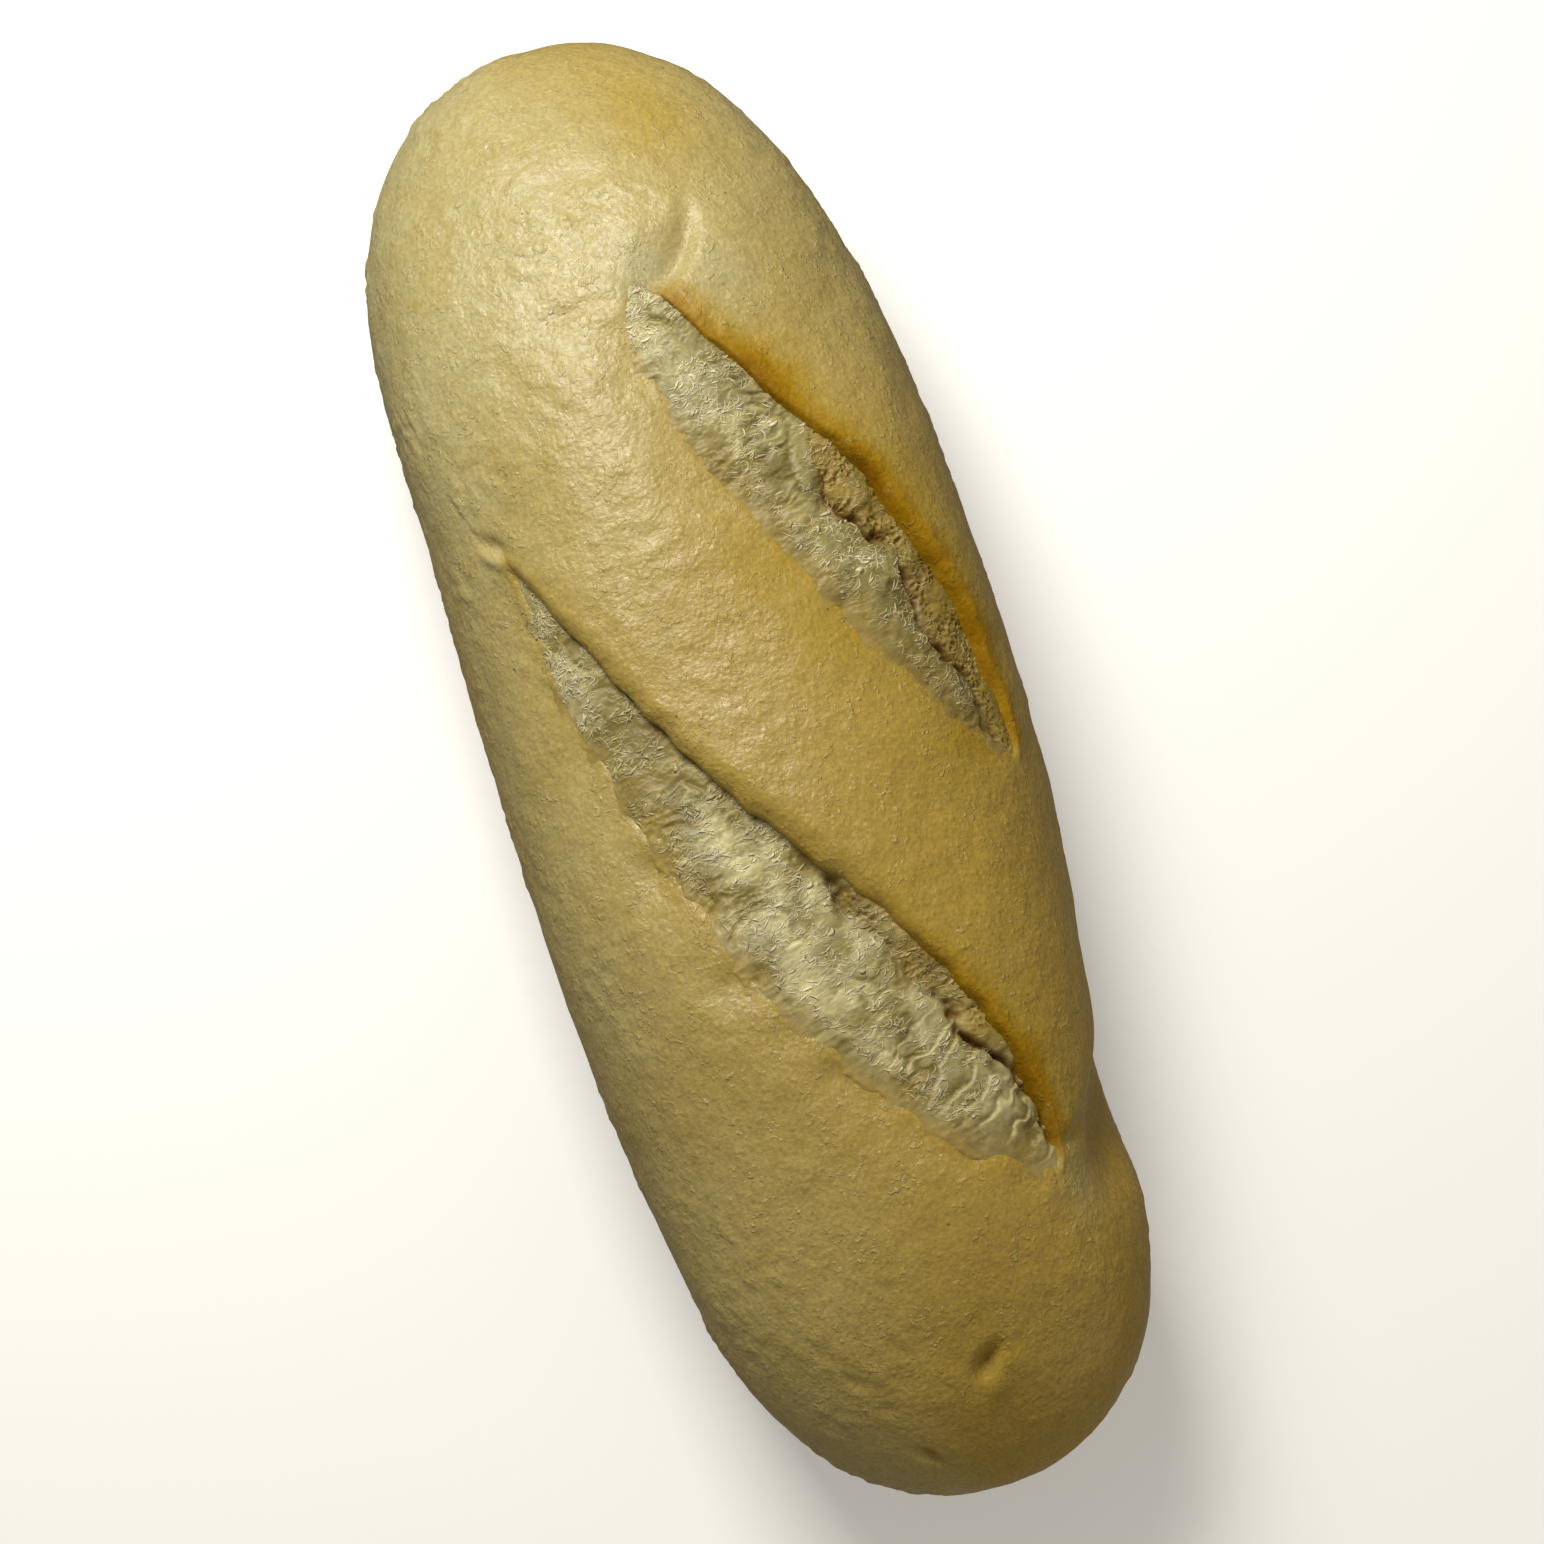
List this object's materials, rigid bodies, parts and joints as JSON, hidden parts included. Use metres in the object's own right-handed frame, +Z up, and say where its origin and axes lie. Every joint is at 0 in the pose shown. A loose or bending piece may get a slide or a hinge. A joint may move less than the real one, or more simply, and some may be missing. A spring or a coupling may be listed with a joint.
{
  "type": "sub roll",
  "caption": "Oblong sub roll with a domed pale crust, a flat base and slanting slashes that open on torn white crumb under browned lips.",
  "frame": {"origin": "middle of the roll's box, on the surface that it rests on", "axes": "+X along the roll, +Y across it, +Z up through the slashed crust"},
  "size_m": [0.203, 0.0708, 0.0536],
  "materials": {
    "crust": "matte"
  },
  "bodies": {
    "root": {"sub_roll": "crust"}
  },
  "joints": []
}
